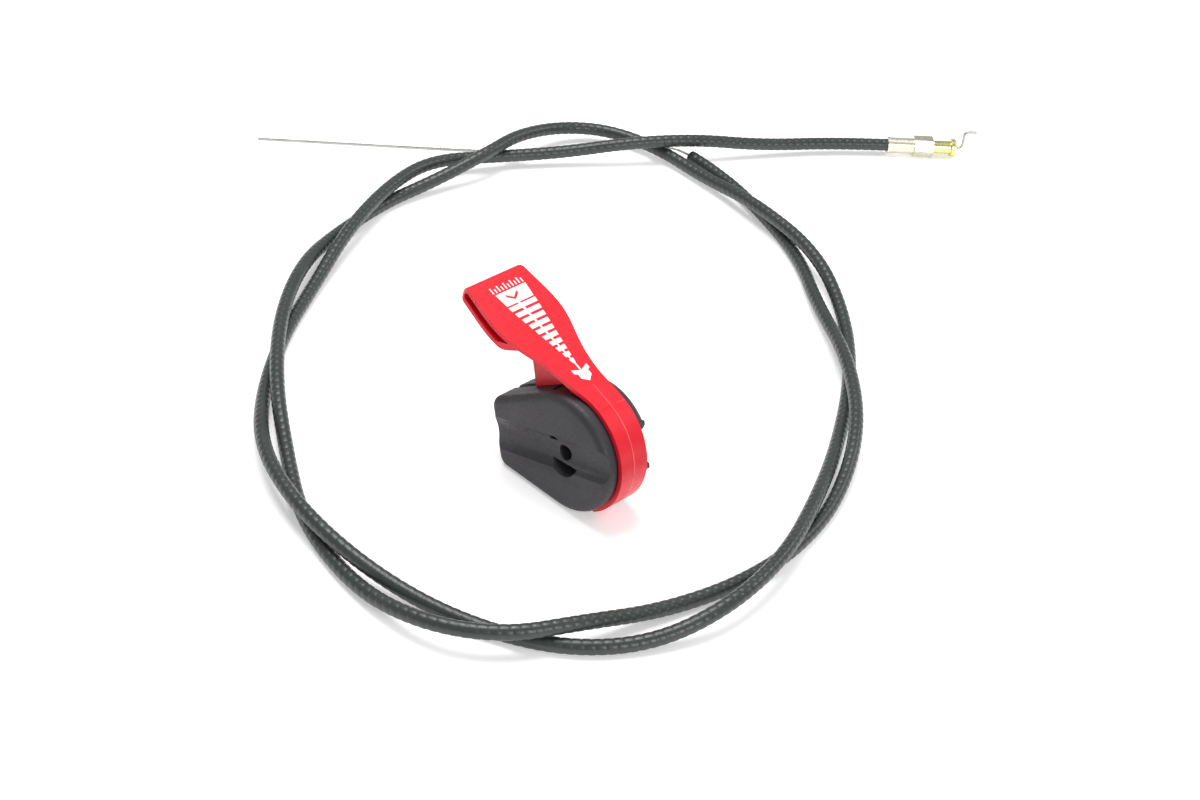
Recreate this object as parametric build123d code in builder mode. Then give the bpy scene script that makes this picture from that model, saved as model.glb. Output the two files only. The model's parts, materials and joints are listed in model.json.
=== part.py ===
from build123d import *
import os
from math import cos, pi, radians, sin, tan

os.makedirs("parts", exist_ok=True)

# Lever control for a handlebar tube, with its Bowden cable lying loose around it.
# All sizes in millimetres. +Z is up and the control stands on the floor at Z = 0 on the
# lower tapered edges of its two housing halves; the lever turns about an axis along Y.

# ---- housing outline, seen along the pivot axis ----------------------------------------------
taper = 16.5  # angle of the two straight edges, and of the tube groove when standing
housing_r = 24.6  # round end, about the pivot
tail_len = 38.5  # pivot to the flat tail end
tail_corner_r = 5.0
wall = 2.4
edge_round_front = 3.2
edge_round_back = 5.2

# ---- depths behind the front face ------------------------------------------------------------
front_shoulder = 5.2
seam = 13.0
web_slot_half = 1.8  # the halves stand this far from the seam where the web swings
housing_depth = 26.0

# ---- lever -----------------------------------------------------------------------------------
rim_proud = 1.7  # rim beyond the housing's round end
rim_wall = 1.9
rim_front_gap = 1.1
rim_back = 20.0
rim_clear = 0.4
rim_start_angle = 84.0  # the drum runs on past the strap, from here
rim_end_angle = -75.0  # to here
strap_angle = 53.0  # where the strap leaves the rim, from the groove direction
strap_len = 66.0  # along the strap, tangent point to the centre of the fold
pad_width = 31.0
tip_width = 28.2
neck_width = 17.2
pad_centre = 11.0  # depth of the paddle's centre line
tip_corner_r = 4.0
skin = 1.8
loop_height = 7.0
loop_start = 37.0
web_t = 3.0
weld = 0.5  # how far joined walls run into each other
hub_r = 7.5
hub_len = 5.1
disc_r = 18.0
disc_clear = 0.5
hook_hole_r = 0.9
hook_radius = 14.0
hook_angle = -100.0

# ---- pivot stack -----------------------------------------------------------------------------
bolt_hole_r = 3.25
sleeve_r = 4.5
running = 0.05
sleeve_floor_front = 0.8  # between the core pocket and the sleeve's seat
sleeve_floor_back = 2.0
friction_washer_t = 0.8
backing_washer_t = 1.0
wave_t = 1.4
wave_sheet = 0.8
wave_clear = 0.3
front_boss_r = 10.9
rear_boss_r = 9.4

# ---- tube groove -----------------------------------------------------------------------------
tube_r = 11.2
groove_depth = 2.46
core_r = 7.4
core_centre = -2.0
core_step = -4.4
core_depth = 6.6
core_tilt = -8.0

# ---- cover screws ----------------------------------------------------------------------------
screw_places = [(-14.5, -17.0), (-tail_len + 7.5, -7.0)]
screw_r = 1.4
screw_head_r = 2.9
screw_head_t = 1.9
screw_head_sink = 0.2
screw_tip = 5.2  # depth of the screws' ends behind the front face
screw_boss_r = 3.3
screw_clear = 0.2
screw_hole_over = 1.4  # hole left past the screw's end

# ---- cable notch in the cover, to the right of the pivot -------------------------------------
notch_half = 8.0
notch_cut = 7.0  # into the round end
notch_front = 19.2
socket_y = -3.4
socket_depth = 22.7
block_side = 2.0
block_wall = 3.2
block_weld = 0.2
clip_t = 0.9
clip_catch = 0.6  # how far the clip reaches into the notch's sides
clip_bridge = 1.3
clip_pinch = 1.0
clip_short = 0.3  # the clip ends this far below the back
socket_len = 8.0
socket_clear = 0.15

# ---- cable -----------------------------------------------------------------------------------
jacket_r = 3.0
winding_r = 2.15
winding_fit = 0.05
winding_bore_r = 1.0
wire_r = 0.65
ferrule_wall = 0.85
ferrule_len = 13.4
ferrule_lip = 0.35
ferrule_lip_len = 1.3
crimp_flats = 9.2
crimp_len = 9.6
neck_r = 3.2
neck_len = 9.2
nipple_insert = 6.0
flange_r = 4.4
flange_t = 2.6
flange_chamfer = 0.5
wire_clear = 0.07
hook_out = 3.5
hook_rise = 9.0
hook_bend_r = 2.0
hook_end_len = 6.0

# ---- where the control stands ----------------------------------------------------------------
pivot_x = 15.5
face_y = -11.0

t = radians(taper)
rim_r = housing_r + rim_proud
rim_front = front_shoulder + rim_front_gap
rear_shoulder = rim_back + rim_clear
front_seam = seam - web_slot_half
rear_seam = seam + web_slot_half
face = Plane(origin=(pivot_x, face_y, housing_r), x_dir=(cos(t), 0, sin(t)), z_dir=(0, -1, 0))
tail_half = (housing_r - tail_len * sin(t)) / cos(t)
front_seat = seam - hub_len / 2 - friction_washer_t
rear_seat = seam + hub_len / 2 + friction_washer_t + backing_washer_t + wave_t
rim_bore_r = rim_r - rim_wall
spigot_r = rim_bore_r - rim_clear
sleeve_seat = core_depth + sleeve_floor_front
sleeve_end = housing_depth - sleeve_floor_back
notch_floor = housing_r - notch_cut
block_half = notch_half + block_side
block_end = spigot_r - wall + block_weld
block_front = rear_seam + 0.6
clip_front = socket_depth - neck_r - clip_bridge


def polar(radius, angle):
    """A point at this radius and angle about the pivot, on the face plane."""
    return (radius * cos(radians(angle)), radius * sin(radians(angle)))


def strap_point(along, height):
    """A point on the face plane: how far along the strap from the rim, and its height there."""
    a = radians(strap_angle)
    return (height * cos(a) - along * sin(a), height * sin(a) + along * cos(a))


def turned(angle):
    """The face plane turned about the pivot by this angle."""
    a = radians(taper + angle)
    return Plane(origin=face.origin, x_dir=(cos(a), 0, sin(a)), z_dir=(0, -1, 0))


def save(part, name):
    """Labels a finished piece and writes its STEP file."""
    part.label = name
    export_step(part, f"parts/{name}.step")


# Teardrop outline of both housing halves, and the same with the smaller round end that
# the lever's rim turns around.
with BuildSketch() as outline:
    Circle(housing_r)
    with BuildLine():
        Polyline(
            polar(housing_r, 90 + taper),
            (-tail_len, tail_half),
            (-tail_len, -tail_half),
            polar(housing_r, -90 - taper),
            close=True,
        )
    make_face()
    fillet(outline.vertices().group_by(Axis.X)[0], tail_corner_r)

with BuildSketch() as spigot:
    Circle(spigot_r)
    with BuildLine():
        Polyline(
            polar(housing_r, 90 + taper),
            (-tail_len, tail_half),
            (-tail_len, -tail_half),
            polar(housing_r, -90 - taper),
            close=True,
        )
    make_face()
    fillet(spigot.vertices().group_by(Axis.X)[0], tail_corner_r)

# Inside of the shells: the spigot outline less a wall, around the screw bosses.
with BuildSketch() as hollow:
    offset(spigot.sketch, amount=-wall)
    with Locations(*screw_places):
        Circle(screw_boss_r, mode=Mode.SUBTRACT)

# The lower side of the tail, where the halves meet; above it the lever's web swings.
with BuildSketch() as seam_land:
    add(spigot.sketch)
    with BuildLine():
        Polyline(
            (0, 45),
            (-50, 45),
            (-50, 12),
            (-tail_len + 3, -1.5),
            (-24, -6.5),
            (-18, -9),
            (0, 0),
            close=True,
        )
    make_face(mode=Mode.SUBTRACT)
    Circle(disc_r + disc_clear, mode=Mode.SUBTRACT)
    with BuildLine():
        Polyline((0, 45), (45, 45), (45, -45), (-8, -45), (-8, -10), (0, 0), close=True)
    make_face(mode=Mode.SUBTRACT)

groove_start = face.from_local_coords((-tail_len - 5, 0, tube_r - groove_depth))
groove_plane = Plane(origin=groove_start, x_dir=(0, -1, 0), z_dir=face.x_dir)

# ---- front half: the saddle that seats on the handlebar tube ---------------------------------
with BuildPart() as saddle:
    with BuildSketch(face):
        add(outline.sketch)
    extrude(amount=-front_shoulder)
    front_face = saddle.faces().sort_by(Axis.Y)[0]
    fillet(front_face.edges(), edge_round_front)
    with BuildSketch(face.offset(-front_shoulder)):
        add(spigot.sketch)
    extrude(amount=-(front_seam - front_shoulder))
    with BuildSketch(face.offset(-front_seam)):
        add(seam_land.sketch)
    extrude(amount=-(seam - front_seam))
    # inside: cored out behind the face, with a boss that ends under the friction washer
    with BuildSketch(face.offset(-seam)):
        add(hollow.sketch)
    extrude(amount=seam - front_shoulder, mode=Mode.SUBTRACT)
    with BuildSketch(face.offset(-front_shoulder)):
        Circle(front_boss_r)
    extrude(amount=-(front_seat - front_shoulder))
    # outside: the groove for the tube, the half-round core pocket below the bolt hole and
    # the small one above it
    with BuildSketch(groove_plane):
        Circle(tube_r)
    extrude(amount=tail_len + housing_r + 10, mode=Mode.SUBTRACT)
    with BuildSketch(face):
        with Locations((0, core_centre)):
            Circle(core_r)
        with Locations((0, core_step)):
            Rectangle(
                3 * core_r,
                2 * core_r,
                rotation=core_tilt,
                align=(Align.CENTER, Align.MIN),
                mode=Mode.SUBTRACT,
            )
        with BuildLine():
            Polyline((-6.6, 4.8), (-2.6, 4.8), (-2.6, 6.9), (-5.6, 6.9), close=True)
        make_face()
    extrude(amount=-core_depth, mode=Mode.SUBTRACT)
    with BuildSketch(face):
        Circle(bolt_hole_r)
    extrude(amount=-housing_depth, mode=Mode.SUBTRACT)
    with BuildSketch(face.offset(-sleeve_seat)):
        Circle(sleeve_r + running)
    extrude(amount=-housing_depth, mode=Mode.SUBTRACT)
    with BuildSketch(face.offset(-seam)):
        with Locations(*screw_places):
            Circle(screw_r + running)
    extrude(amount=seam - screw_tip + screw_hole_over, mode=Mode.SUBTRACT)
save(saddle.part, "saddle_housing")

# ---- rear half: the cover, with the notch where the cable comes in ---------------------------
with BuildPart() as cover:
    with BuildSketch(face.offset(-rear_shoulder)):
        add(outline.sketch)
    extrude(amount=-(housing_depth - rear_shoulder))
    back_face = cover.faces().sort_by(Axis.Y)[-1]
    fillet(back_face.edges(), edge_round_back)
    with BuildSketch(face.offset(-rear_seam)):
        add(spigot.sketch)
    extrude(amount=-(rear_shoulder - rear_seam))
    with BuildSketch(face.offset(-seam)):
        add(seam_land.sketch)
    extrude(amount=-(rear_seam - seam))
    with BuildSketch(face.offset(-seam)):
        add(hollow.sketch)
    extrude(amount=-(housing_depth - wall - seam), mode=Mode.SUBTRACT)
    with BuildSketch(face.offset(-rear_seat)):
        Circle(rear_boss_r)
    extrude(amount=-(housing_depth - wall - rear_seat))
    # thick block behind the rim, with the cable notch cut into it from the right and the back
    with BuildSketch(face.offset(-block_front)):
        with Locations((notch_floor - block_wall, 0)):
            Rectangle(
                block_end - notch_floor + block_wall, 2 * block_half, align=(Align.MIN, Align.CENTER)
            )
    extrude(amount=-(housing_depth - wall / 2 - block_front))
    with BuildSketch(face.offset(-notch_front)):
        with Locations((notch_floor, 0)):
            Rectangle(housing_r, 2 * notch_half, align=(Align.MIN, Align.CENTER))
    extrude(amount=-housing_depth, mode=Mode.SUBTRACT)
    # grooves in the notch sides that hold the spring clip
    with BuildSketch(face.offset(-clip_front)):
        with Locations((notch_floor, 0)):
            Rectangle(clip_t, 2 * (notch_half + clip_catch), align=(Align.MIN, Align.CENTER))
    extrude(amount=-housing_depth, mode=Mode.SUBTRACT)
    with BuildSketch(face.offset(-socket_depth)):
        with Locations((notch_floor - socket_len / 2, socket_y)):
            Rectangle(socket_len, 2 * (neck_r + socket_clear), align=(Align.MIN, Align.CENTER))
    extrude(amount=-housing_depth, mode=Mode.SUBTRACT)
    socket_start = face.from_local_coords((notch_floor - socket_len / 2, socket_y, -socket_depth))
    with BuildSketch(Plane(origin=socket_start, x_dir=(0, -1, 0), z_dir=face.x_dir)):
        Circle(neck_r + socket_clear)
    extrude(amount=socket_len, mode=Mode.SUBTRACT)
    # through hole, sleeve seat and screw holes
    with BuildSketch(face.offset(-rear_seam)):
        Circle(bolt_hole_r)
    extrude(amount=-housing_depth, mode=Mode.SUBTRACT)
    with BuildSketch(face.offset(-rear_seam)):
        Circle(sleeve_r + running)
    extrude(amount=-(sleeve_end - rear_seam), mode=Mode.SUBTRACT)
    with BuildSketch(face.offset(-seam)):
        with Locations(*screw_places):
            Circle(screw_r + screw_clear)
    extrude(amount=-housing_depth, mode=Mode.SUBTRACT)
    with BuildSketch(face.offset(-housing_depth)):
        with Locations(*screw_places):
            Circle(screw_head_r + screw_clear)
    extrude(amount=screw_head_t + screw_head_sink + 0.1, mode=Mode.SUBTRACT)
save(cover.part, "rear_cover")

# ---- lever: paddle strap, folded back on itself, trimmed to its flared plan shape ------------
# strap_side: x runs back from the tip to the rim (so x = -s), y is the distance from the pivot
strap_side = turned(strap_angle - 90)
strap_top = Plane(origin=face.origin, x_dir=strap_side.x_dir, z_dir=strap_side.y_dir)
fold_r = loop_height / 2
with BuildPart() as strap:
    with BuildSketch(strap_side) as strap_profile:
        with BuildLine():
            Polyline(
                (1.5, rim_bore_r),
                (-loop_start + 1, rim_bore_r),
                (-loop_start + 1, rim_r),
                (1.5, rim_r),
                close=True,
            )
        make_face()
        with BuildLine():
            Line((-loop_start + 1, rim_r), (-strap_len, rim_r))
            ThreePointArc(
                (-strap_len, rim_r),
                (-strap_len - fold_r, rim_r - fold_r),
                (-strap_len, rim_r - loop_height),
            )
            Line((-strap_len, rim_r - loop_height), (-loop_start - 7, rim_r - loop_height))
            Spline(
                (-loop_start - 7, rim_r - loop_height),
                (-loop_start - 1, rim_bore_r - 1.9),
                (-loop_start + 1, rim_bore_r),
                tangents=[(1, 0), (0.6, 0.8)],
            )
            Line((-loop_start + 1, rim_bore_r), (-loop_start + 1, rim_r))
        make_face()
        # the slot inside the fold
        with BuildLine():
            Line((-loop_start - 3, rim_r - skin), (-strap_len, rim_r - skin))
            ThreePointArc(
                (-strap_len, rim_r - skin),
                (-strap_len - fold_r + skin, rim_r - fold_r),
                (-strap_len, rim_r - loop_height + skin),
            )
            Line((-strap_len, rim_r - loop_height + skin), (-loop_start - 8, rim_r - loop_height + skin))
            Line((-loop_start - 8, rim_r - loop_height + skin), (-loop_start - 3, rim_r - skin))
        make_face(mode=Mode.SUBTRACT)
    extrude(amount=8)
    extrude(strap_profile.sketch, amount=-30)
    with BuildSketch(strap_top) as strap_plan:
        with BuildLine():
            front_edge = Spline(
                (-2, rim_front),
                (-12, rim_front - 2.1),
                (-24, pad_centre - neck_width / 2 - 0.8),
                (-42, pad_centre - pad_width / 2),
                (-strap_len - fold_r - 1, pad_centre - tip_width / 2),
                tangents=[(-1, -0.1), (-1, 0.06)],
            )
            back_edge = Spline(
                (-strap_len - fold_r - 1, pad_centre + tip_width / 2),
                (-42, pad_centre + pad_width / 2),
                (-24, pad_centre + neck_width / 2 + 1.6),
                (-12, rim_back - 0.3),
                (-2, rim_back),
                tangents=[(1, 0.06), (1, 0)],
            )
            Line(front_edge @ 1, back_edge @ 0)
            Polyline(back_edge @ 1, (2, rim_back), (2, rim_front), front_edge @ 0)
        make_face()
        fillet(strap_plan.vertices().group_by(Axis.X)[0], tip_corner_r)
    extrude(amount=rim_r + 5, mode=Mode.INTERSECT)

with BuildPart() as lever:
    # flat web in the middle, from the hub out to the rim and up under the strap
    with BuildSketch(face.offset(-seam + web_t / 2)):
        Circle(rim_bore_r + weld)
        with BuildLine():
            Polyline(
                (0, 0),
                polar(60, strap_angle + 60),
                (-60, 40),
                (-60, -60),
                polar(90, rim_end_angle),
                close=True,
            )
        make_face(mode=Mode.SUBTRACT)
        Circle(disc_r)
        with BuildLine():
            Polyline(
                (0, 0),
                polar(rim_bore_r + weld, strap_angle - 6),
                strap_point(0, rim_bore_r + weld),
                strap_point(35.3, rim_bore_r + weld),
                (-23, 33),
                (-23, 19),
                (-15, 9.5),
                close=True,
            )
        make_face()
    extrude(amount=-web_t)
    # rim, a drum around the housing from the strap down to below the pivot
    with BuildSketch(face.offset(-rim_front)):
        Circle(rim_r)
        Circle(rim_bore_r, mode=Mode.SUBTRACT)
        with BuildLine():
            Polyline(
                (0, 0),
                polar(60, rim_start_angle),
                (-60, 60),
                (-60, -60),
                polar(90, rim_end_angle),
                close=True,
            )
        make_face(mode=Mode.SUBTRACT)
    extrude(amount=-(rim_back - rim_front))
    add(strap.part)
    with BuildSketch(face.offset(-seam + hub_len / 2 - running)):
        Circle(hub_r)
    extrude(amount=-(hub_len - 2 * running))
    with BuildSketch(face):
        Circle(sleeve_r + running)
        with Locations(polar(hook_radius, hook_angle)):
            Circle(hook_hole_r)
    extrude(amount=-housing_depth, mode=Mode.SUBTRACT)
save(lever.part, "throttle_lever")

# ---- pivot stack: spacer sleeve, friction washers, backing washer and wave spring ------------
with BuildPart() as sleeve:
    with BuildSketch(face.offset(-sleeve_seat)):
        Circle(sleeve_r)
        Circle(bolt_hole_r, mode=Mode.SUBTRACT)
    extrude(amount=-(sleeve_end - sleeve_seat))
save(sleeve.part, "pivot_sleeve")


def washer(depth, thickness, name):
    """A flat ring on the sleeve whose front face is at this depth."""
    with BuildPart() as ring:
        with BuildSketch(face.offset(-depth)):
            Circle(hub_r)
            Circle(sleeve_r + running, mode=Mode.SUBTRACT)
        extrude(amount=-thickness)
    save(ring.part, name)


washer(front_seat, friction_washer_t, "front_friction_washer")
washer(seam + hub_len / 2, friction_washer_t, "rear_friction_washer")
washer(seam + hub_len / 2 + friction_washer_t, backing_washer_t, "backing_washer")

# three hollows pressed into each side make the ring wavy
with BuildPart() as wave:
    with BuildSketch(face.offset(-rear_seat + wave_t)):
        Circle(hub_r)
        Circle(sleeve_r + wave_clear, mode=Mode.SUBTRACT)
    extrude(amount=-wave_t)
    for side, depth in ((0, rear_seat), (60, rear_seat - wave_t)):
        for turn in range(3):
            crest = turned(side + 120 * turn).offset(-depth)
            with BuildSketch(Plane(origin=crest.origin, x_dir=crest.y_dir, z_dir=crest.x_dir)):
                Ellipse(4.2, wave_t - wave_sheet)
            extrude(amount=hub_r + 1, mode=Mode.SUBTRACT)
save(wave.part, "wave_washer")

# ---- cover screws, from the back into the saddle ---------------------------------------------
with BuildPart() as screws:
    with BuildSketch(face.offset(-housing_depth + screw_head_sink)):
        with Locations(*screw_places):
            Circle(screw_head_r)
    extrude(amount=screw_head_t)
    with BuildSketch(face.offset(-housing_depth + screw_head_sink)):
        with Locations(*screw_places):
            Circle(screw_r)
    extrude(amount=housing_depth - screw_head_sink - screw_tip)
    with BuildSketch(face.offset(-housing_depth + screw_head_sink)):
        with Locations(*screw_places):
            Rectangle(3.4, 0.7)
            Rectangle(0.7, 3.4)
    extrude(amount=1.2, mode=Mode.SUBTRACT)
save(screws.part, "cover_screws")

# ---- spring clip that closes the cable socket ------------------------------------------------
clip_plane = Plane(
    origin=face.from_local_coords((notch_floor, 0, 0)), x_dir=(0, -1, 0), z_dir=face.x_dir
)
with BuildPart() as clip:
    # on this plane x is the height above the front face, so depths are negative
    with BuildSketch(clip_plane):
        with Locations((-clip_front, 0)):
            Rectangle(
                housing_depth - clip_front - clip_short,
                2 * (notch_half + clip_catch),
                align=(Align.MAX, Align.CENTER),
            )
        with Locations((-socket_depth, -socket_y)):
            Circle(neck_r, mode=Mode.SUBTRACT)
            Rectangle(8, 2 * neck_r - clip_pinch, align=(Align.MAX, Align.CENTER), mode=Mode.SUBTRACT)
    extrude(amount=clip_t)
save(clip.part, "conduit_clip")

# ---- Bowden cable ----------------------------------------------------------------------------
# The cable lies loose around the control in two turns, over and under itself. Its route is a
# list of hand-chosen points from the fitting to the cut end; every corner is rounded with a
# radius taken from the shorter of the two runs that meet there.
cable_heading = Vector(0.648, 0.7616, 0).normalized()
fitting_at = Vector(-83.5, 312, 4.9)
insert = 9.0

route = [
    tuple(fitting_at + cable_heading * insert),
    (-98.5, 294.4, 4.9),
    (-119.5, 258, 5.8),
    (-135.5, 228, 11.4),
    (-152.5, 199, 11.4),
    (-171.5, 171, 6.4),
    (-188.5, 142, 5.9),
    (-199.5, 113, 8.6),
    (-192.5, 82, 10.4),
    (-175.5, 43, 9.8),
    (-155.5, 7, 3.4),
    (-135.5, -25, 3.0),
    (-109.5, -56, 3.0),
    (-78.5, -82, 8.0),
    (-46.5, -95, 9.8),
    (-8.5, -100, 9.8),
    (25.5, -93, 4.0),
    (56.5, -82, 3.0),
    (81.5, -65, 3.0),
    (97.5, -40, 3.4),
    (105.5, -11, 9.8),
    (99.5, 27, 9.9),
    (83.5, 64, 8.8),
    (61.5, 104, 3.0),
    (33.5, 146, 3.0),
    (1.5, 179, 4.0),
    (-34.5, 200, 10.0),
    (-80.5, 209, 9.9),
    (-116.5, 214, 4.0),
    (-147.5, 215, 4.9),
    (-174.5, 207, 5.4),
    (-188.5, 187, 7.4),
    (-189.5, 159, 11.9),
    (-183.5, 134, 13.4),
    (-188.5, 105, 5.4),
    (-190.5, 77, 3.0),
    (-182.5, 42, 3.2),
    (-165.5, 9, 9.8),
    (-140.5, -23, 9.8),
    (-104.5, -54, 9.8),
    (-70.5, -75, 3.2),
    (-34.5, -96, 3.0),
    (7.5, -105, 3.0),
    (42.5, -103, 9.6),
    (65.5, -85, 9.8),
    (77.5, -57, 8.8),
    (86.5, -26, 3.0),
    (94.5, 7, 3.0),
    (94.5, 41, 3.0),
    (84.5, 78, 3.2),
    (63.5, 114, 9.6),
    (29.5, 147, 9.8),
    (-10.5, 174, 4.6),
    (-42.5, 199, 3.0),
    (-81.5, 215, 3.0),
    (-115.5, 224, 3.0),
    (-135.5, 225, 3.0),
]

# bare inner wire past the cut end: it turns down to the floor and runs out straight
wire_route = [
    (-135.5, 225, 3.0),
    (-146.5, 225.5, 2.7),
    (-155.5, 218.5, 1.2),
    (-163.5, 206.5, 0.8),
    (-178.5, 180, 0.8),
    (-199.5, 150.7, 0.8),
    (-235.5, 110.5, 0.8),
    (-273.5, 68.2, 0.8),
]


def bend_radii(points):
    """One radius for each corner of a route."""
    radii = []
    for before, here, after in zip(points, points[1:], points[2:]):
        run_in = Vector(*here) - Vector(*before)
        run_out = Vector(*after) - Vector(*here)
        half_turn = radians(run_in.get_angle(run_out) / 2)
        radii.append(0.45 * min(run_in.length, run_out.length) / tan(half_turn))
    return radii


def tube(points, outer, bore, name):
    """A round tube, or a solid wire when bore is 0, along the rounded route."""
    with BuildPart() as run:
        with BuildLine():
            path = FilletPolyline(*points, radius=bend_radii(points))
        with BuildSketch(Plane(origin=path @ 0, z_dir=path % 0)):
            Circle(outer)
            if bore > 0:
                Circle(bore, mode=Mode.SUBTRACT)
        sweep()
    save(run.part, name)
    swept = path.length * pi * (outer**2 - bore**2)
    print(name, "least radius", round(min(bend_radii(points)), 1), "length", round(path.length, 1))
    print(name, "volume over section times length", round(run.part.volume / swept, 4))


tube(route, jacket_r, winding_r + winding_fit, "conduit_jacket")
tube(route, winding_r, winding_bore_r, "conduit_winding")
tube(route, wire_r, 0, "wire_core")
tube(wire_route, wire_r, 0, "wire_tail")

# ---- fitting on the cable's end: crimped ferrule, flanged nipple and hooked wire -------------
fitting = Plane(origin=fitting_at, x_dir=(cable_heading.Y, -cable_heading.X, 0), z_dir=cable_heading)
with BuildPart() as ferrule:
    with BuildSketch(fitting):
        Circle(jacket_r + ferrule_wall)
    extrude(amount=ferrule_len)
    with BuildSketch(fitting):
        Circle(jacket_r + ferrule_wall + ferrule_lip)
    extrude(amount=ferrule_lip_len)
    with BuildSketch(fitting.offset(ferrule_len)):
        RegularPolygon(crimp_flats / 2, 6, major_radius=False, rotation=0)
    extrude(amount=crimp_len)
    with BuildSketch(fitting):
        Circle(jacket_r)
    extrude(amount=insert, mode=Mode.SUBTRACT)
    with BuildSketch(fitting.offset(ferrule_len + crimp_len - nipple_insert)):
        Circle(neck_r)
    extrude(amount=nipple_insert, mode=Mode.SUBTRACT)
    with BuildSketch(fitting):
        Circle(wire_r + wire_clear)
    extrude(amount=ferrule_len + crimp_len, mode=Mode.SUBTRACT)
save(ferrule.part, "conduit_ferrule")

nipple_end = ferrule_len + crimp_len + neck_len + flange_t
with BuildPart() as nipple:
    with BuildSketch(fitting.offset(ferrule_len + crimp_len - nipple_insert)):
        Circle(neck_r)
    extrude(amount=nipple_insert + neck_len)
    with BuildSketch(fitting.offset(ferrule_len + crimp_len + neck_len)):
        Circle(flange_r)
    extrude(amount=flange_t)
    chamfer(nipple.edges().sort_by(Axis((0, 0, 0), tuple(cable_heading)))[-1], flange_chamfer)
    with BuildSketch(fitting):
        Circle(wire_r + wire_clear)
    extrude(amount=nipple_end + 1, mode=Mode.SUBTRACT)
save(nipple.part, "conduit_nipple")

hook_points = [
    tuple(fitting_at + cable_heading * (insert + 1)),
    tuple(fitting_at + cable_heading * (nipple_end + hook_out)),
    tuple(fitting_at + cable_heading * (nipple_end + hook_out) + Vector(0, 0, hook_rise)),
    tuple(fitting_at + cable_heading * (nipple_end + hook_out + hook_end_len) + Vector(0, 0, hook_rise)),
]
with BuildPart() as hook:
    with BuildLine():
        FilletPolyline(*hook_points, radius=hook_bend_r)
    with BuildSketch(Plane(origin=hook_points[0], z_dir=cable_heading)):
        Circle(wire_r)
    sweep()
save(hook.part, "wire_hook")
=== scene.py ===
import json
import math

import bmesh
import bpy
from mathutils import Matrix, Vector

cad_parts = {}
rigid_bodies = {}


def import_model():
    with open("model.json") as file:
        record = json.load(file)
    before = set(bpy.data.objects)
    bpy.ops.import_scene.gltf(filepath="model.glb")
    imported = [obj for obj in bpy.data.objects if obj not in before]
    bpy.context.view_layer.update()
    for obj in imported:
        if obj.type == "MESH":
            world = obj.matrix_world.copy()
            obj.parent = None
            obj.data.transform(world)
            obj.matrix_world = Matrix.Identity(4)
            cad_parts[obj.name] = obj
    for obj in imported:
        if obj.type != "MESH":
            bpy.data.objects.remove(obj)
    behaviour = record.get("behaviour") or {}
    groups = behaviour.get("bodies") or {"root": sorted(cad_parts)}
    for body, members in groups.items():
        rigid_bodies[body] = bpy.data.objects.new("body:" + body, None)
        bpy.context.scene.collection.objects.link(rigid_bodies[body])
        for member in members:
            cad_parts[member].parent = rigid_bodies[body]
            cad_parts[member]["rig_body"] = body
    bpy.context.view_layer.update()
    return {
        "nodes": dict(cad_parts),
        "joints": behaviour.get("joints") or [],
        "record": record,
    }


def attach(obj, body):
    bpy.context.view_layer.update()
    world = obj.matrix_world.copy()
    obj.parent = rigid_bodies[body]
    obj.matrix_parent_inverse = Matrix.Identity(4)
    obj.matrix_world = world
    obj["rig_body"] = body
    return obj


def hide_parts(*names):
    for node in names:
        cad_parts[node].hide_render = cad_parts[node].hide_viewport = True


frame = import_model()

# Lever throttle control with its loose Bowden cable. Everything is in metres, in the frame of
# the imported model: the control stands on the floor at Z = 0.

nodes = frame["nodes"]
scene = bpy.context.scene
MM = 0.001

# ---- sizes as in the CAD, in millimetres and degrees -----------------------------------------
HOUSING_DEPTH = 26.0
RIM_R = 26.3
RIM_MIDDLE = 13.0  # depth of the rim's middle behind the front face
STRAP_ANGLE = 53.0
RIM_END_ANGLE = -75.0
JACKET_R = 3.0
WINDING_R = 2.15
WINDING_BORE_R = 1.0
WIRE_R = 0.65

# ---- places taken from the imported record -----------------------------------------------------
joints = {j["name"]: j for j in frame["joints"]}
mounts = {m["name"]: m for m in frame["record"]["mounts"]}
pivot = Vector(joints["lever_pivot"]["pos_m"])
groove_dir = Vector(mounts["handle_tube_saddle"]["axis"]).normalized()
housing_up = Vector((-groove_dir.z, 0, groove_dir.x))
back = Vector((0, 1, 0))
face_y = mounts["back_face"]["pos_m"][1] - HOUSING_DEPTH * MM


def at(a, b, depth):
    """A point from millimetres along the groove, up from it, and behind the front face."""
    return Vector((pivot.x, face_y, pivot.z)) + (a * groove_dir + b * housing_up + depth * back) * MM


def on_strap(s, depth, proud=0.0):
    """A point on the paddle's outer face: s mm from where it leaves the rim, towards the tip."""
    t = math.radians(STRAP_ANGLE)
    d = RIM_R + proud
    return at(d * math.cos(t) - s * math.sin(t), d * math.sin(t) + s * math.cos(t), depth)


def on_rim(angle, depth, proud=0.0):
    """A point on the rim's outer face, at an angle in degrees from the groove."""
    t = math.radians(angle)
    return at((RIM_R + proud) * math.cos(t), (RIM_R + proud) * math.sin(t), depth)


# ---- materials -------------------------------------------------------------------------------
def material(name, metallic=0.0, roughness=0.5, specular=0.5, coat=0.0):
    """A new material with its node tree and its shader, for the rest to be wired to."""
    mat = bpy.data.materials.new(name)
    mat.use_nodes = True
    shader = mat.node_tree.nodes["Principled BSDF"]
    shader.inputs["Metallic"].default_value = metallic
    shader.inputs["Roughness"].default_value = roughness
    shader.inputs["Specular IOR Level"].default_value = specular
    shader.inputs["Coat Weight"].default_value = coat
    return mat, mat.node_tree, shader


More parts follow.
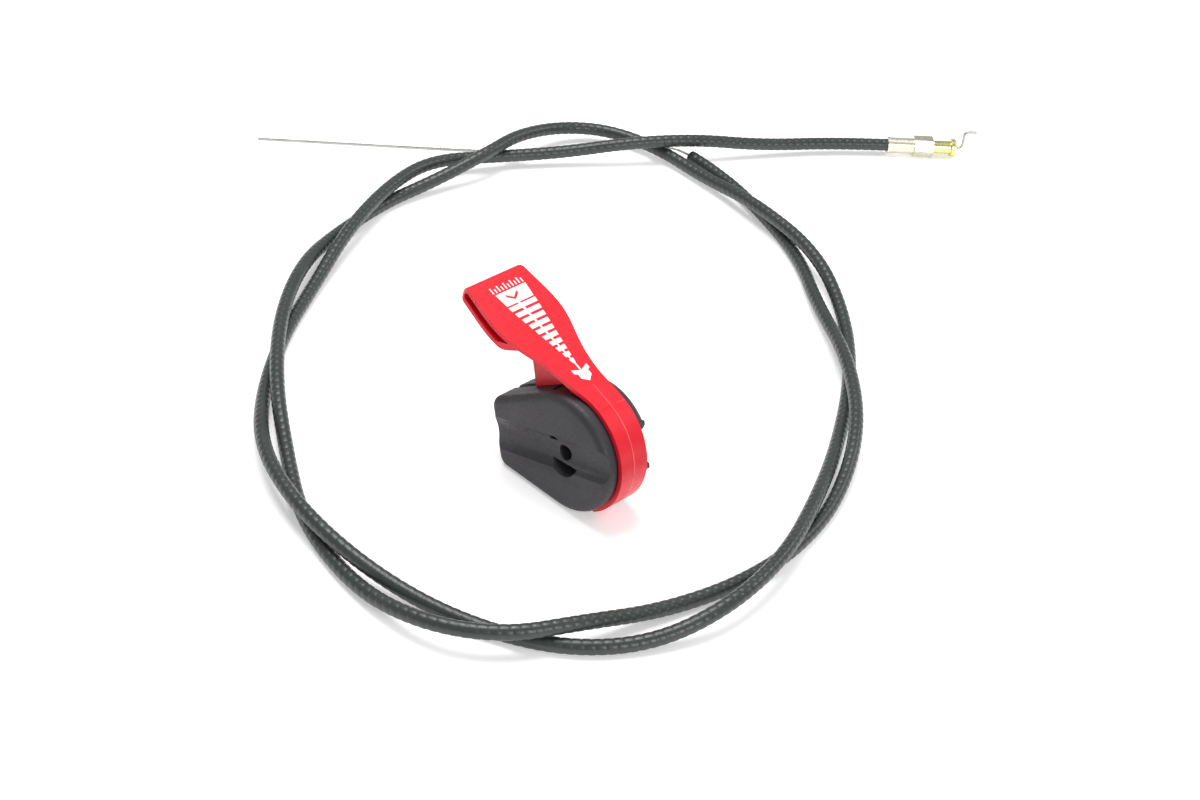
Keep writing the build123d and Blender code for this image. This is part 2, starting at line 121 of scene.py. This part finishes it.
def noise(tree, per_metre, detail=4.0, stretch=None):
    """A noise texture in the object's own coordinates, this many features to the metre."""
    coords = tree.nodes.new("ShaderNodeTexCoord")
    texture = tree.nodes.new("ShaderNodeTexNoise")
    texture.inputs["Scale"].default_value = per_metre
    texture.inputs["Detail"].default_value = detail
    source = coords.outputs["Object"]
    if stretch:
        mapping = tree.nodes.new("ShaderNodeMapping")
        mapping.inputs["Scale"].default_value = stretch
        tree.links.new(source, mapping.inputs["Vector"])
        source = mapping.outputs["Vector"]
    tree.links.new(source, texture.inputs["Vector"])
    return texture.outputs["Fac"]


def ramp(tree, value, stops):
    """A colour ramp over a 0 to 1 value; stops are (position, colour)."""
    node = tree.nodes.new("ShaderNodeValToRGB")
    while len(node.color_ramp.elements) < len(stops):
        node.color_ramp.elements.new(0.5)
    for element, (position, colour) in zip(node.color_ramp.elements, stops):
        element.position = position
        element.color = (*colour, 1)
    tree.links.new(value, node.inputs["Fac"])
    return node.outputs["Color"]


def spread(tree, value, low, high):
    """Maps a 0.3 to 0.7 noise value to a range."""
    node = tree.nodes.new("ShaderNodeMapRange")
    node.inputs["From Min"].default_value = 0.3
    node.inputs["From Max"].default_value = 0.7
    node.inputs["To Min"].default_value = low
    node.inputs["To Max"].default_value = high
    tree.links.new(value, node.inputs["Value"])
    return node.outputs["Result"]


def bump(tree, shader, height, depth_mm, strength):
    """Fine relief on the shader from a 0 to 1 height."""
    node = tree.nodes.new("ShaderNodeBump")
    node.inputs["Strength"].default_value = strength
    node.inputs["Distance"].default_value = depth_mm * MM
    tree.links.new(height, node.inputs["Height"])
    tree.links.new(node.outputs["Normal"], shader.inputs["Normal"])


def black_plastic():
    """Dark moulded nylon with a fine sparked texture."""
    mat, tree, shader = material("black_plastic", specular=0.42)
    tone = ramp(tree, noise(tree, 60, 5), [(0.3, (0.022, 0.020, 0.025)), (0.7, (0.034, 0.032, 0.038))])
    tree.links.new(tone, shader.inputs["Base Color"])
    tree.links.new(spread(tree, noise(tree, 900, 3), 0.42, 0.62), shader.inputs["Roughness"])
    bump(tree, shader, noise(tree, 2600, 3), 0.05, 0.55)
    return mat


def red_plastic():
    """Bright red moulded plastic, smooth with a faint orange peel and flow streaks."""
    mat, tree, shader = material("red_plastic", specular=0.35, coat=0.05)
    streaks = noise(tree, 55, 5, stretch=(1.0, 0.35, 1.0))
    tone = ramp(tree, streaks, [(0.3, (0.64, 0.006, 0.018)), (0.7, (0.74, 0.012, 0.027))])
    tree.links.new(tone, shader.inputs["Base Color"])
    tree.links.new(spread(tree, noise(tree, 500, 4), 0.34, 0.46), shader.inputs["Roughness"])
    bump(tree, shader, noise(tree, 700, 2), 0.02, 0.4)
    return mat


def seam_painted_highlight():
    """Smoother red for the lever's seam, lighter than the rest: the lighter colour is a painted
    highlight, the light line the seam catches.
    """
    mat, tree, shader = material("seam_painted_highlight", roughness=0.22, specular=0.6)
    tone = ramp(tree, noise(tree, 120, 3), [(0.3, (0.78, 0.06, 0.08)), (0.7, (0.88, 0.13, 0.15))])
    tree.links.new(tone, shader.inputs["Base Color"])
    return mat


def white_ink():
    """Matt white print, a little worn at its thin places."""
    mat, tree, shader = material("white_ink", specular=0.4)
    tone = ramp(tree, noise(tree, 900, 3), [(0.25, (0.74, 0.68, 0.68)), (0.6, (0.90, 0.89, 0.88))])
    tree.links.new(tone, shader.inputs["Base Color"])
    tree.links.new(spread(tree, noise(tree, 1500, 2), 0.4, 0.6), shader.inputs["Roughness"])
    return mat


def jacket_plastic():
    """Grey-green extruded jacket with a soft shine on its ribs."""
    mat, tree, shader = material("jacket_plastic", specular=0.55)
    tone = ramp(tree, noise(tree, 45, 4), [(0.3, (0.024, 0.031, 0.028)), (0.7, (0.036, 0.044, 0.040))])
    tree.links.new(tone, shader.inputs["Base Color"])
    tree.links.new(spread(tree, noise(tree, 700, 3), 0.28, 0.42), shader.inputs["Roughness"])
    bump(tree, shader, noise(tree, 1800, 2), 0.02, 0.35)
    return mat


def metal(name, dark, light, rough, grain, bump_mm=0.01):
    """Bare or plated metal whose shine varies with a fine grain."""
    mat, tree, shader = material(name, metallic=1.0)
    tone = ramp(tree, noise(tree, 140, 5), [(0.3, dark), (0.7, light)])
    tree.links.new(tone, shader.inputs["Base Color"])
    fine = noise(tree, grain, 3)
    tree.links.new(spread(tree, fine, rough - 0.08, rough + 0.1), shader.inputs["Roughness"])
    bump(tree, shader, fine, bump_mm, 0.4)
    return mat


def acetal():
    """Off-white slippery plastic of the friction washers."""
    mat, tree, shader = material("white_acetal", specular=0.45)
    tone = ramp(tree, noise(tree, 200, 3), [(0.3, (0.72, 0.71, 0.68)), (0.7, (0.80, 0.79, 0.76))])
    tree.links.new(tone, shader.inputs["Base Color"])
    tree.links.new(spread(tree, noise(tree, 900, 2), 0.35, 0.5), shader.inputs["Roughness"])
    return mat


BLACK = black_plastic()
RED = red_plastic()
# the seam's lighter red is a painted highlight
SEAM_HIGHLIGHT_RED = seam_painted_highlight()
INK = white_ink()
JACKET = jacket_plastic()
ACETAL = acetal()
STEEL = metal("bright_steel", (0.52, 0.52, 0.52), (0.66, 0.66, 0.66), 0.3, 1500)
SPRING = metal("spring_steel", (0.26, 0.26, 0.28), (0.38, 0.38, 0.40), 0.34, 900)
WIRE = metal("wire_steel", (0.34, 0.34, 0.33), (0.50, 0.49, 0.47), 0.3, 2200, bump_mm=0.006)
ZINC = metal("zinc_plate", (0.66, 0.64, 0.50), (0.82, 0.80, 0.68), 0.32, 1200)
YELLOW = metal("yellow_zinc", (0.66, 0.62, 0.22), (0.82, 0.78, 0.42), 0.26, 1200)

NODE_MATERIALS = {
    "saddle_housing": BLACK,
    "rear_cover": BLACK,
    "throttle_lever": RED,
    "pivot_sleeve": STEEL,
    "front_friction_washer": ACETAL,
    "rear_friction_washer": ACETAL,
    "backing_washer": STEEL,
    "wave_washer": SPRING,
    "cover_screws": STEEL,
    "conduit_clip": SPRING,
    "conduit_jacket": JACKET,
    "conduit_winding": STEEL,
    "wire_core": WIRE,
    "wire_tail": WIRE,
    "conduit_ferrule": ZINC,
    "conduit_nipple": YELLOW,
    "wire_hook": WIRE,
}
for node_name, mat in NODE_MATERIALS.items():
    nodes[node_name].data.materials.clear()
    nodes[node_name].data.materials.append(mat)


# ---- pieces ----------------------------------------------------------------------------------
BEVEL_FROM_ANGLE = 32.0


def new_piece(name, bm, mat, body, smooth_angle=35.0):
    """Turns a bmesh into an object that rides on a body."""
    bmesh.ops.recalc_face_normals(bm, faces=bm.faces)
    mesh = bpy.data.meshes.new(name)
    bm.to_mesh(mesh)
    bm.free()
    for polygon in mesh.polygons:
        polygon.use_smooth = True
    mesh.set_sharp_from_angle(angle=math.radians(smooth_angle))
    mesh.materials.append(mat)
    piece = bpy.data.objects.new(name, mesh)
    scene.collection.objects.link(piece)
    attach(piece, body)
    return piece


def softened(node_name, piece_name, width_mm, segments=2):
    """A copy of a CAD node with its sharp moulded edges rounded."""
    node = nodes[node_name]
    bm = bmesh.new()
    bm.from_mesh(node.data)
    bmesh.ops.remove_doubles(bm, verts=bm.verts, dist=0.001 * MM)
    bmesh.ops.dissolve_limit(bm, angle_limit=math.radians(0.5), verts=bm.verts, edges=bm.edges)
    piece = new_piece(piece_name, bm, NODE_MATERIALS[node_name], node["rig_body"])
    rounding = piece.modifiers.new("rounding", "BEVEL")
    rounding.width = width_mm * MM
    rounding.segments = segments
    rounding.limit_method = "ANGLE"
    rounding.angle_limit = math.radians(BEVEL_FROM_ANGLE)
    rounding.use_clamp_overlap = True
    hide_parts(node_name)
    return piece


def patch(bm, corners, outer, inner):
    """A thin raised patch on the lever: corner points are functions of the height above it."""
    top = [bm.verts.new(corner(outer)) for corner in corners]
    low = [bm.verts.new(corner(inner)) for corner in corners]
    bm.faces.new(top)
    bm.faces.new(list(reversed(low)))
    count = len(corners)
    for i in range(count):
        j = (i + 1) % count
        bm.faces.new((top[i], low[i], low[j], top[j]))


INK_TOP = 0.05
INK_LOW = -0.05


def ink_shape(bm, outline):
    """One printed shape, from its (s, depth) corners in mm."""
    corners = [lambda h, s=s, d=d: on_strap(s, d, h) for s, d in outline]
    patch(bm, corners, INK_TOP, INK_LOW)


# the printed scale: where its centre line ends at the neck, and its bars, along the paddle
SCALE_END = 17.0
FIRST_BAR = 21.7
LAST_BAR = 51.7
BAR_HALF = 1.05


def scale_axis(s):
    """Depth of the printed scale's centre line at a place along the paddle."""
    return RIM_MIDDLE - 0.035 * (s - SCALE_END)


def paddle_scale():
    """Tapering ladder of bars on one centre line."""
    bm = bmesh.new()
    first, last, bars = FIRST_BAR, LAST_BAR, 10
    bar_half = BAR_HALF
    taper_start, front_taper, rear_taper = 17.5, 0.172, 0.222
    for i in range(bars):
        s = first + (last - first) * i / (bars - 1)
        front = front_taper * (s - taper_start)
        rear = rear_taper * (s - taper_start)
        c = scale_axis(s)
        ink_shape(
            bm,
            [
                (s - bar_half, c - front + 0.1),
                (s + bar_half, c - front - 0.2),
                (s + bar_half, c + rear + 0.2),
                (s - bar_half, c + rear - 0.1),
            ],
        )
        gap_end = s + (last - first) / (bars - 1) - bar_half
        line_half = 0.35 + 0.25 * i / bars
        if i < bars - 1:
            end_axis = scale_axis(gap_end)
            ink_shape(
                bm,
                [
                    (s + bar_half, c - line_half),
                    (gap_end, end_axis - line_half),
                    (gap_end, end_axis + line_half),
                    (s + bar_half, c + line_half),
                ],
            )
    # the centre line runs on from the narrowest bar to the sign at the neck
    c = scale_axis(SCALE_END)
    start = first - bar_half
    ink_shape(bm, [(SCALE_END, c - 0.4), (start, c - 0.35), (start, c + 0.35), (SCALE_END, c + 0.4)])
    return new_piece("paddle_scale", bm, INK, "lever")


def paddle_block():
    """White block at the wide end of the scale, with a chevron left open in it."""
    bm = bmesh.new()
    s0, s1 = 53.5, 60.0
    c = scale_axis(56.5)
    front0, front1, rear0, rear1 = c - 5.9, c - 6.7, c + 7.9, c + 8.9
    mark0, mark1 = 55.0, 58.6
    half = 3.0
    stroke = 1.3
    line = 0.6
    last = LAST_BAR + BAR_HALF
    ink_shape(bm, [(last, c - line), (s0, c - line), (s0, c + line), (last, c + line)])
    # the block goes round an open chevron that points to the neck
    ink_shape(bm, [(s0, front0), (s1, front1), (s1, c - half), (s0, c - half)])
    ink_shape(bm, [(s0, c + half), (s1, c + half), (s1, rear1), (s0, rear0)])
    ink_shape(bm, [(s0, c - half), (mark1 - stroke, c - half), (mark0, c), (s0, c)])
    ink_shape(bm, [(s0, c), (mark0, c), (mark1 - stroke, c + half), (s0, c + half)])
    ink_shape(bm, [(mark1, c - half), (s1, c - half), (s1, c), (mark0 + stroke, c)])
    ink_shape(bm, [(mark0 + stroke, c), (s1, c), (s1, c + half), (mark1, c + half)])
    return new_piece("paddle_block", bm, INK, "lever")


def paddle_ticks():
    """Plain row of ticks beyond the block."""
    bm = bmesh.new()
    count = 9
    s0, s1 = 60.7, 63.6
    c = scale_axis(62.0)
    front, rear = c - 6.6, c + 8.6
    step = (rear - front) / count
    for i in range(count + 1):
        d = front + i * step
        short = 0.0 if i % 2 == 0 else 0.9
        ink_shape(bm, [(s0, d - 0.3), (s1 - short, d - 0.3), (s1 - short, d + 0.3), (s0, d + 0.3)])
    return new_piece("paddle_ticks", bm, INK, "lever")


def paddle_fast_sign():
    """Arrow of two chevrons at the neck, the plain sign for fast."""
    bm = bmesh.new()
    c = scale_axis(14.0)
    deep, sweep, notch = 2.0, 2.2, 0.6
    for tip, half in ((11.2, 2.7), (14.0, 4.0)):
        inner = tip + deep + notch
        wing = tip + sweep
        ink_shape(bm, [(tip, c), (wing, c - half), (wing + deep, c - half), (inner, c)])
        ink_shape(bm, [(tip, c), (inner, c), (wing + deep, c + half), (wing, c + half)])
    return new_piece("paddle_fast_sign", bm, INK, "lever")


def rim_parting_line():
    """Fine moulding seam round the rim and up the neck."""
    bm = bmesh.new()
    depth, half, proud, sunk = RIM_MIDDLE, 0.3, 0.1, -0.05
    start = RIM_END_ANGLE + 2
    steps = 72
    places = []
    for i in range(steps + 1):
        angle = start + (STRAP_ANGLE - start) * i / steps
        places.append(lambda d, h, angle=angle: on_rim(angle, d, h))
    for s in (3.0, 6.0, 9.0):
        places.append(lambda d, h, s=s: on_strap(s, d, h))
    rings = []
    for place in places:
        ring = [place(depth - half, sunk), place(depth - half * 0.5, proud)]
        ring += [place(depth + half * 0.5, proud), place(depth + half, sunk)]
        rings.append([bm.verts.new(p) for p in ring])
    for one, two in zip(rings, rings[1:]):
        for i in range(4):
            j = (i + 1) % 4
            bm.faces.new((one[i], one[j], two[j], two[i]))
    bm.faces.new(rings[0])
    bm.faces.new(list(reversed(rings[-1])))
    # the seam is drawn in lighter red: a painted highlight along it
    return new_piece("rim_parting_line", bm, SEAM_HIGHLIGHT_RED, "lever")


def gate_mark():
    """Small upright oval left by the mould's gate on the rim."""
    bm = bmesh.new()
    centre_angle, half_angle, half_width = -17, 2.6, 0.35
    steps = 20
    outline = []
    for i in range(steps):
        t = 2 * math.pi * i / steps
        angle = centre_angle + half_angle * math.sin(t)
        depth = RIM_MIDDLE + half_width * math.cos(t)
        outline.append(lambda h, angle=angle, depth=depth: on_rim(angle, depth, h))
    patch(bm, outline, 0.11, -0.05)
    return new_piece("rim_gate_mark", bm, RED, "lever")


softened("saddle_housing", "saddle_shell", 0.3)
softened("rear_cover", "cover_shell", 0.3)
softened("throttle_lever", "lever_moulding", 0.22)
softened("conduit_clip", "clip_plate", 0.1)
softened("conduit_nipple", "nipple_turned", 0.15)
softened("conduit_ferrule", "ferrule_crimped", 0.3)
paddle_scale()
paddle_block()
paddle_ticks()
paddle_fast_sign()
rim_parting_line()
gate_mark()

# ---- cable -----------------------------------------------------------------------------------
# The routes are the part's own given points, in millimetres.
CABLE_ROUTE = [
    (-77.668, 318.855, 4.9),
    (-98.5, 294.4, 4.9),
    (-119.5, 258, 5.8),
    (-135.5, 228, 11.4),
    (-152.5, 199, 11.4),
    (-171.5, 171, 6.4),
    (-188.5, 142, 5.9),
    (-199.5, 113, 8.6),
    (-192.5, 82, 10.4),
    (-175.5, 43, 9.8),
    (-155.5, 7, 3.4),
    (-135.5, -25, 3.0),
    (-109.5, -56, 3.0),
    (-78.5, -82, 8.0),
    (-46.5, -95, 9.8),
    (-8.5, -100, 9.8),
    (25.5, -93, 4.0),
    (56.5, -82, 3.0),
    (81.5, -65, 3.0),
    (97.5, -40, 3.4),
    (105.5, -11, 9.8),
    (99.5, 27, 9.9),
    (83.5, 64, 8.8),
    (61.5, 104, 3.0),
    (33.5, 146, 3.0),
    (1.5, 179, 4.0),
    (-34.5, 200, 10.0),
    (-80.5, 209, 9.9),
    (-116.5, 214, 4.0),
    (-147.5, 215, 4.9),
    (-174.5, 207, 5.4),
    (-188.5, 187, 7.4),
    (-189.5, 159, 11.9),
    (-183.5, 134, 13.4),
    (-188.5, 105, 5.4),
    (-190.5, 77, 3.0),
    (-182.5, 42, 3.2),
    (-165.5, 9, 9.8),
    (-140.5, -23, 9.8),
    (-104.5, -54, 9.8),
    (-70.5, -75, 3.2),
    (-34.5, -96, 3.0),
    (7.5, -105, 3.0),
    (42.5, -103, 9.6),
    (65.5, -85, 9.8),
    (77.5, -57, 8.8),
    (86.5, -26, 3.0),
    (94.5, 7, 3.0),
    (94.5, 41, 3.0),
    (84.5, 78, 3.2),
    (63.5, 114, 9.6),
    (29.5, 147, 9.8),
    (-10.5, 174, 4.6),
    (-42.5, 199, 3.0),
    (-81.5, 215, 3.0),
    (-115.5, 224, 3.0),
    (-135.5, 225, 3.0),
]
WIRE_ROUTE = [
    (-135.5, 225, 3.0),
    (-146.5, 225.5, 2.7),
    (-155.5, 218.5, 1.2),
    (-163.5, 206.5, 0.8),
    (-178.5, 180, 0.8),
    (-199.5, 150.7, 0.8),
    (-235.5, 110.5, 0.8),
    (-273.5, 68.2, 0.8),
]


def route_curve(name, route):
    """One smooth open NURBS spline with the route's points as its control points."""
    curve = bpy.data.curves.new(name, "CURVE")
    curve.dimensions = "3D"
    spline = curve.splines.new("NURBS")
    spline.points.add(len(route) - 1)
    for point, place in zip(spline.points, route):
        point.co = (*(Vector(place) * MM), 1)
    spline.order_u = 3
    spline.use_endpoint_u = True
    spline.resolution_u = 16
    curve.resolution_u = 16
    return curve


def centreline(route):
    """Points along the route's spline, as Blender draws it."""
    helper = bpy.data.objects.new("route_helper", route_curve("route_helper", route))
    mesh = bpy.data.meshes.new_from_object(helper)
    line = [v.co.copy() for v in mesh.vertices]
    bpy.data.meshes.remove(mesh)
    bpy.data.objects.remove(helper)
    return line


def evenly(line, step):
    """The same line with its points a step apart."""
    lengths = [0.0]
    for one, two in zip(line, line[1:]):
        lengths.append(lengths[-1] + (two - one).length)
    count = max(2, round(lengths[-1] / step))
    places = []
    k = 0
    for i in range(count + 1):
        want = lengths[-1] * i / count
        while k < len(line) - 2 and lengths[k + 1] < want:
            k += 1
        share = (want - lengths[k]) / (lengths[k + 1] - lengths[k])
        places.append(line[k].lerp(line[k + 1], share))
    return places


def frames(line):
    """A side vector at each point that doesn't twist along the line."""
    headings = []
    for i in range(len(line)):
        before, after = line[max(i - 1, 0)], line[min(i + 1, len(line) - 1)]
        headings.append((after - before).normalized())
    side = headings[0].orthogonal().normalized()
    sides = []
    for heading in headings:
        side = (side - heading * side.dot(heading)).normalized()
        sides.append(side)
    return headings, sides


# ribs of the jacket, in millimetres, and the mesh's steps along one rib and around the jacket
RIB_PITCH = 3.8
RIB_DEPTH = 0.16
RIB_STEPS = 8
AROUND = 24


def cable_jacket():
    """The ribbed jacket: the strip wound inside shows through it as a shallow helix."""
    line = evenly(centreline(CABLE_ROUTE), RIB_PITCH / RIB_STEPS * MM)
    headings, sides = frames(line)
    bm = bmesh.new()
    rings = []
    for i, (point, heading, side) in enumerate(zip(line, headings, sides)):
        up = heading.cross(side)
        ring = []
        for k in range(AROUND):
            turn = 2 * math.pi * k / AROUND
            wave = 0.5 - 0.5 * math.cos(2 * math.pi * i / RIB_STEPS - turn)
            radius = JACKET_R - RIB_DEPTH * wave**3
            out = side * math.cos(turn) + up * math.sin(turn)
            ring.append(bm.verts.new(point + out * radius * MM))
        rings.append(ring)
    for one, two in zip(rings, rings[1:]):
        for k in range(AROUND):
            j = (k + 1) % AROUND
            bm.faces.new((one[k], one[j], two[j], two[k]))
    # each end turns in over the wound strip and down into its bore: radius and depth inwards
    end_profile = (
        (JACKET_R - 0.28, 0.0),
        (WINDING_R, 0.25),
        (WINDING_R - 0.1, 0.0),
        (WINDING_BORE_R, 0.0),
        (WINDING_BORE_R, 3.0),
    )
    ends = ((rings[0], line[0], headings[0]), (rings[-1], line[-1], -headings[-1]))
    for ring, point, inward in ends:
        outer = ring
        for radius, depth in end_profile:
            inner = []
            for vert in ring:
                out = (vert.co - point).normalized()
                inner.append(bm.verts.new(point + out * radius * MM + inward * depth * MM))
            for k in range(AROUND):
                j = (k + 1) % AROUND
                bm.faces.new((outer[k], outer[j], inner[j], inner[k]))
            outer = inner
        bm.faces.new(outer)
    piece = new_piece("cable_jacket", bm, JACKET, "control_and_cable", 50)
    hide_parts("conduit_jacket", "conduit_winding", "wire_core")
    return piece, line


def bare_wire():
    """The inner wire past the cut end, with a cut tip."""
    curve = route_curve("bare_wire", WIRE_ROUTE)
    curve.bevel_depth = WIRE_R * MM
    curve.bevel_resolution = 4
    curve.use_fill_caps = True
    curve.materials.append(WIRE)
    piece = bpy.data.objects.new("bare_wire", curve)
    scene.collection.objects.link(piece)
    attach(piece, "control_and_cable")
    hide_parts("wire_tail")
    return piece


jacket, jacket_line = cable_jacket()
tail = bare_wire()


# ---- floor, light and camera -----------------------------------------------------------------
def floor():
    """Pale floor that gives off a little light, as a light table does."""
    mesh = bpy.data.meshes.new("floor")
    half, top = 6.0, -0.0001
    corners = [(-half, -half, top), (half, -half, top), (half, half, top), (-half, half, top)]
    mesh.from_pydata(corners, [], [(0, 1, 2, 3)])
    mat, tree, shader = material("paper_floor", roughness=0.9, specular=0.1)
    shader.inputs["Base Color"].default_value = (0.88, 0.88, 0.88, 1)
    shader.inputs["Emission Color"].default_value = (1, 1, 1, 1)
    shader.inputs["Emission Strength"].default_value = 0.35
    mesh.materials.append(mat)
    sheet = bpy.data.objects.new("floor", mesh)
    scene.collection.objects.link(sheet)


def area_light(name, place, target, size, power):
    """A rectangular lamp at one place, turned to another; its size in metres, power in watts."""
    light = bpy.data.lights.new(name, "AREA")
    light.shape = "RECTANGLE"
    light.size, light.size_y = size
    light.energy = power
    lamp = bpy.data.objects.new(name, light)
    lamp.location = place
    lamp.rotation_euler = (Vector(target) - Vector(place)).to_track_quat("-Z", "Y").to_euler()
    scene.collection.objects.link(lamp)


floor()
area_light("overhead", (-0.35, 0.15, 1.3), (-0.05, 0.08, 0), (0.8, 0.8), 15.5)
area_light("rear", (0.5, 1.3, 0.9), (0, 0.1, 0.03), (0.8, 0.3), 4.0)
area_light("right", (1.2, -0.2, 0.6), (0, 0, 0.03), (0.3, 0.7), 5.5)
world = bpy.data.worlds.new("studio")
world.use_nodes = True
world.node_tree.nodes["Background"].inputs["Color"].default_value = (1, 1, 1, 1)
world.node_tree.nodes["Background"].inputs["Strength"].default_value = 0.45
scene.world = world
scene.view_settings.view_transform = "Standard"

# The camera looks down at the ring from the right, turned a little about its own axis.
CAMERA_PLACE = Vector((472.0, -510.2, 543.7)) * MM
CAMERA_TARGET = Vector((-22.9, 51.1, 0.0)) * MM
CAMERA_ROLL = 6.6
camera_data = bpy.data.cameras.new("camera")
camera_data.lens = 67.1
camera_data.sensor_width = 36.0
camera_data.clip_start = 0.01
camera = bpy.data.objects.new("camera", camera_data)
scene.collection.objects.link(camera)
aim = (CAMERA_TARGET - CAMERA_PLACE).to_track_quat("-Z", "Y").to_matrix().to_4x4()
roll = Matrix.Rotation(math.radians(CAMERA_ROLL), 4, "Z")
camera.matrix_world = Matrix.Translation(CAMERA_PLACE) @ aim @ roll
scene.camera = camera
